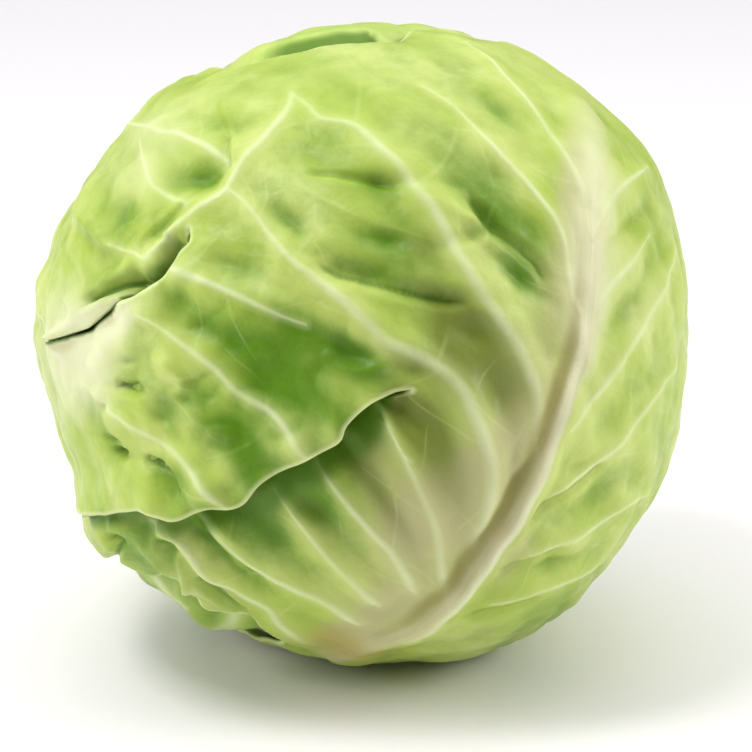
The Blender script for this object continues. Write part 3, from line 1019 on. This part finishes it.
def leaf_tint_group(net, wax):
    """A leaf's colour, surface height and gloss from its veins and colour areas."""
    takes = [("Place", "NodeSocketVector", None)]
    takes += [(part, "NodeSocketFloat", 0.0) for part in LEAF_PARTS]
    takes += [("Light", "NodeSocketColor", paint("cfe07a")), ("Green", "NodeSocketColor", paint("a8c850")),
              ("Deep", "NodeSocketColor", paint("5f8f14"))]
    tree, nodes, given, result = group(
        "leaf_tint", takes,
        [("Color", "NodeSocketColor"), ("Height", "NodeSocketFloat"), ("Gloss", "NodeSocketFloat")])
    net_wide = nodes.add("ShaderNodeGroup", node_tree=net, inputs={"Place": given["Place"]})
    net_fine = nodes.add("ShaderNodeGroup", node_tree=net, inputs={
        "Place": given["Place"], "Cells": 420.0, "Line": 0.12, "Bend": 0.0015})
    bloom = nodes.add("ShaderNodeGroup", node_tree=wax, inputs={"Place": given["Place"]})
    cloud, mottle = bloom.outputs["Cloud"], bloom.outputs["Mottle"]

    colour = nodes.blend(nodes.ramp(cloud, 0.0, 1.0, 0.22, 0.72), given["Green"], given["Light"])
    deep = nodes.math("ADD", given["deep"], nodes.math("MULTIPLY", nodes.math("SUBTRACT", mottle, 0.5), 0.12))
    colour = nodes.blend(nodes.ramp(deep, -0.05, 1.1, 0.0, 0.95), colour, given["Deep"])
    colour = nodes.blend(nodes.ramp(given["cream"], 0.05, 1.0, 0.0, 0.8), colour, paint("e8e8c4"))
    colour = nodes.blend(nodes.ramp(given["rose"], 0.05, 1.0, 0.0, 0.82), colour, paint("bfb88a"))
    colour = nodes.blend(nodes.ramp(given["moss"], 0.05, 0.9, 0.0, 0.9), colour, paint("76832f"))
    colour = nodes.blend(nodes.math("MULTIPLY", net_fine.outputs["Lines"], 0.015), colour, paint("dfe8a0"))
    patchy = nodes.texture(given["Place"], 60.0, 3.0)
    thread = nodes.math("MULTIPLY", nodes.ramp(given["thread"], 0.0, 2.6, 0.2, 0.0), nodes.ramp(patchy, 0.35, 0.65))
    colour = nodes.blend(thread, colour, paint("d8e39c"))
    glow = nodes.ramp(given["vein"], 0.5, 5.0, 0.28, 0.0)
    colour = nodes.blend(glow, colour, paint("d4e094"))
    strength = nodes.ramp(patchy, 0.3, 0.65, 0.35, 0.7)
    vein = nodes.ramp(given["vein"], 0.0, 2.1, 1.0, 0.0)
    colour = nodes.blend(nodes.math("MULTIPLY", vein, strength), colour, paint("e0e8b8"))

    strands = nodes.add("ShaderNodeCombineXYZ")
    nodes.feed(strands.inputs[0], given["rib_across"])
    nodes.feed(strands.inputs[1], nodes.math("MULTIPLY", given["rib_along"], 0.04))
    fibre = nodes.texture(strands.outputs[0], 1.3, 3.0)
    fibre_shade = nodes.ramp(fibre, 0.3, 0.7)
    rib_colour = nodes.blend(fibre_shade, paint("d2cb9f"), paint("dbd6b0"))
    colour = nodes.blend(nodes.ramp(given["rib"], 0.05, 1.0, 0.0, 0.75), colour, rib_colour)
    colour = nodes.blend(nodes.ramp(given["olive"], 0.05, 1.0, 0.0, 0.75), colour, paint("8c8240"))
    colour = nodes.blend(nodes.ramp(given["crest"], 0.05, 1.0, 0.0, 0.75), colour, paint("e9eac6"))
    colour = nodes.blend(nodes.ramp(given["ochre"], 0.1, 1.0, 0.0, 0.8), colour, paint("b0a156"))
    rim = nodes.ramp(given["rim"], 0.2, 1.6, 0.55, 0.0)
    colour = nodes.blend(rim, colour, paint("e9f0b5"))
    colour = nodes.blend(nodes.ramp(given["dark"], 0.1, 0.9, 0.0, 0.85), colour, paint("4c7a00"))
    nodes.feed(result["Color"], colour)

    height = nodes.math("MULTIPLY", net_wide.outputs["Bulge"], 0.16)
    height = nodes.math("ADD", height, nodes.math("MULTIPLY", net_fine.outputs["Bulge"], 0.16))
    height = nodes.math("ADD", height, nodes.math("MULTIPLY", mottle, 0.35))
    fibre_rise = nodes.math("MULTIPLY", nodes.math("MULTIPLY", fibre, given["rib"]), 0.4)
    height = nodes.math("ADD", height, fibre_rise)
    height = nodes.math("ADD", height, nodes.math("MULTIPLY", vein, 0.8))
    nodes.feed(result["Height"], height)
    nodes.feed(result["Gloss"], bloom.outputs["Gloss"])
    return tree


def new_material(name):
    """An empty material with its shader, and a place to add nodes."""
    finish = bpy.data.materials.new(name)
    finish.use_nodes = True
    tree = finish.node_tree
    return finish, Nodes(tree), tree.nodes["Principled BSDF"].inputs


def leaf_finish(name, tint, light, green, deep):
    """A waxy leaf's material, with its own three greens."""
    finish, nodes, shader = new_material(name)
    place = nodes.add("ShaderNodeTexCoord").outputs["Object"]
    inputs = {"Place": place, "Light": paint(light), "Green": paint(green), "Deep": paint(deep)}
    for part in LEAF_PARTS:
        inputs[part] = nodes.add("ShaderNodeAttribute", attribute_name=part).outputs["Fac"]
    skin = nodes.add("ShaderNodeGroup", node_tree=tint, inputs=inputs)
    bump = nodes.add("ShaderNodeBump", inputs={
        "Strength": 0.35, "Distance": 0.0005, "Height": skin.outputs["Height"]})
    nodes.feed(shader["Base Color"], skin.outputs["Color"])
    nodes.feed(shader["Roughness"], skin.outputs["Gloss"])
    nodes.feed(shader["Normal"], bump.outputs["Normal"])
    shader["Subsurface Weight"].default_value = 0.22
    shader["Subsurface Radius"].default_value = (1.0, 0.9, 0.35)
    shader["Subsurface Scale"].default_value = 0.0022
    shader["Specular IOR Level"].default_value = 0.24
    return finish


def heart_finish(wax):
    """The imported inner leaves: pale, with the clouds of a leaf's wax."""
    finish, nodes, shader = new_material("heart_leaf")
    place = nodes.add("ShaderNodeTexCoord").outputs["Object"]
    bloom = nodes.add("ShaderNodeGroup", node_tree=wax, inputs={"Place": place})
    colour = nodes.blend(bloom.outputs["Cloud"], paint("d9e49a"), paint("eef0c4"))
    nodes.feed(shader["Base Color"], colour)
    nodes.feed(shader["Roughness"], bloom.outputs["Gloss"])
    return finish


def stem_finish():
    """The cut stump: pale pith, a ring of strands near the edge, browned where it has dried."""
    finish, nodes, shader = new_material("cut_stem")
    place = nodes.add("ShaderNodeTexCoord").outputs["Object"]
    away = nodes.add("ShaderNodeAttribute", attribute_name="from_pith").outputs["Fac"]
    dried = nodes.texture(place, 160.0, 5.0, 0.6)
    grain = nodes.texture(place, 700.0, 3.0)
    colour = nodes.blend(nodes.ramp(away, 0.2, 0.75), paint("efe9c6"), paint("d9cd98"))
    ring = nodes.math("MULTIPLY", nodes.ramp(away, 0.68, 0.78), nodes.ramp(away, 0.82, 0.92, 1.0, 0.0))
    colour = nodes.blend(nodes.math("MULTIPLY", ring, 0.6), colour, paint("9c8a4c"))
    colour = nodes.blend(nodes.ramp(dried, 0.5, 0.75, 0.0, 0.6), colour, paint("ab9252"))
    colour = nodes.blend(nodes.ramp(away, 0.93, 1.0, 0.0, 0.7), colour, paint("a7b35c"))
    colour = nodes.blend(nodes.ramp(grain, 0.3, 0.8, 0.0, 0.25), colour, paint("8d7a42"))
    bump = nodes.add("ShaderNodeBump", inputs={"Strength": 0.5, "Distance": 0.0006, "Height": grain})
    nodes.feed(shader["Base Color"], colour)
    nodes.feed(shader["Normal"], bump.outputs["Normal"])
    shader["Roughness"].default_value = 0.62
    return finish


def stem_piece():
    """The stump, turned from a profile, with a slightly domed cut and a worn edge."""
    wide = STEM_CUT * math.tan(math.radians(STEM_HALF_ANGLE))
    narrow = STEM_TOP * math.tan(math.radians(STEM_HALF_ANGLE))
    profile = [(0.0, STEM_TOP, 1.0), (narrow * 0.5, STEM_TOP, 1.0), (narrow, STEM_TOP + 0.6, 1.0)]
    steps = 14
    for k in range(1, steps):
        share = k / steps
        profile.append((narrow + (wide - narrow) * share, STEM_TOP + (STEM_CUT - STEM_TOP) * share, 1.0))
    profile += [(wide - 0.3, STEM_CUT - 0.9, 1.0), (wide - 1.0, STEM_CUT - 0.25, 0.95)]
    for k in range(12, 0, -1):
        share = k / 12 * 0.92
        profile.append((wide * share, STEM_CUT - 0.05 - 0.9 * (1 - share ** 2), share))
    profile.append((0.0, STEM_CUT - 0.95, 0.0))
    sides = 96
    turns = np.arange(sides) * 2 * math.pi / sides
    form = bmesh.new()
    pith = form.verts.layers.float.new("from_pith")
    rows = []
    for reach, depth, share in profile:
        spots = []
        for turn in (turns if reach > 0 else turns[:1]):
            wobble = 1.0 + 0.012 * math.sin(5 * turn + 0.09 * depth) - 0.012
            across = math.cos(turn) * AXIS_FRONT + math.sin(turn) * AXIS_RIGHT
            spot = -APEX * depth + across * reach * wobble + MIDDLE
            vertex = form.verts.new(spot * MM)
            vertex[pith] = share
            spots.append(vertex)
        rows.append(spots)
    for upper, lower in zip(rows, rows[1:]):
        for k in range(sides):
            ahead = (k + 1) % sides
            corners = [upper[k % len(upper)], upper[ahead % len(upper)],
                       lower[ahead % len(lower)], lower[k % len(lower)]]
            form.faces.new(list(dict.fromkeys(corners)))
    bmesh.ops.recalc_face_normals(form, faces=form.faces)
    mesh = bpy.data.meshes.new("stem_cut")
    form.to_mesh(mesh)
    form.free()
    mesh.shade_smooth()
    piece = bpy.data.objects.new("stem_cut", mesh)
    bpy.context.scene.collection.objects.link(piece)
    return piece


def area_light(name, place, target, size, power, colour=(1.0, 1.0, 1.0)):
    """A square soft light that faces a target."""
    data = bpy.data.lights.new(name, "AREA")
    data.size = size
    data.energy = power
    data.color = colour
    lamp = bpy.data.objects.new(name, data)
    lamp.location = place
    lamp.rotation_euler = (Vector(target) - Vector(place)).to_track_quat("-Z", "Y").to_euler()
    bpy.context.scene.collection.objects.link(lamp)


def studio():
    """A pale floor, soft lights and the camera."""
    scene = bpy.context.scene
    bpy.ops.mesh.primitive_plane_add(size=6.0)
    floor = bpy.context.object
    floor.name = "floor"
    finish, _, shader = new_material("pale_floor")
    shader["Base Color"].default_value = (0.94, 0.915, 0.94, 1.0)
    shader["Roughness"].default_value = 0.9
    floor.data.materials.append(finish)

    world = bpy.data.worlds.new("studio")
    world.use_nodes = True
    sky = world.node_tree.nodes["Background"].inputs
    sky["Color"].default_value = (1.0, 1.0, 1.0, 1.0)
    sky["Strength"].default_value = 0.15
    scene.world = world

    head = MIDDLE * MM
    area_light("soft_top", (0.0, 1.3, 2.4), (0.0, 1.3, 0.0), 5.0, 96.0)
    area_light("soft_key", (-0.4, -0.25, 1.0), head, 0.3, 4.0)
    area_light("soft_right", (0.9, -0.1, 0.5), head, 0.45, 4.6)
    area_light("soft_left", (-0.9, -0.15, 0.5), head, 0.4, 3.8)

    data = bpy.data.cameras.new("camera")
    data.sensor_width = 36.0
    data.lens = 36.0 * VIEW_DISTANCE / VIEW_WIDTH
    camera = bpy.data.objects.new("camera", data)
    eye = MIDDLE + VIEW_DISTANCE * TO_VIEWER
    target = MIDDLE + VIEW_AIM[0] * RIGHT + VIEW_AIM[1] * UPWARD
    camera.location = Vector(eye * MM)
    camera.rotation_euler = Vector(target - eye).to_track_quat("-Z", "Y").to_euler()
    scene.collection.objects.link(camera)
    scene.camera = camera
    scene.view_settings.view_transform = "Standard"


def dress(piece, finish, node):
    """Gives a finished piece its material and its place in the frame."""
    piece.data.materials.clear()
    piece.data.materials.append(finish)
    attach(piece, "root")
    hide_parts(node)


def main():
    net, wax = vein_net_group(), wax_group()
    tint = leaf_tint_group(net, wax)
    leaves = [front_leaf(), back_leaf(), left_leaf(), right_leaf()]
    fine = 1.0
    spacings = {"leaf_front": fine, "leaf_back": 1.15 * fine, "leaf_left": 1.6 * fine, "leaf_right": 1.6 * fine}
    greens = {
        "leaf_front": ("d1dc86", "a0bb3a", "528300"),
        "leaf_back": ("ccdc7a", "a2c04c", "548408"),
        "leaf_left": ("b8cf60", "8cb236", "487808"),
        "leaf_right": ("bed268", "94b83e", "4c7c0a"),
    }
    for index, leaf in enumerate(leaves):
        piece = leaf_piece(leaf, leaves[:index], spacings[leaf.name], 3.4)
        finish = leaf_finish(leaf.name + "_blade", tint, *greens[leaf.name])
        dress(piece, finish, leaf.name)
    dress(stem_piece(), stem_finish(), "stem")
    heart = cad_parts["heart"]
    heart.data.materials.clear()
    heart.data.materials.append(heart_finish(wax))
    studio()


main()
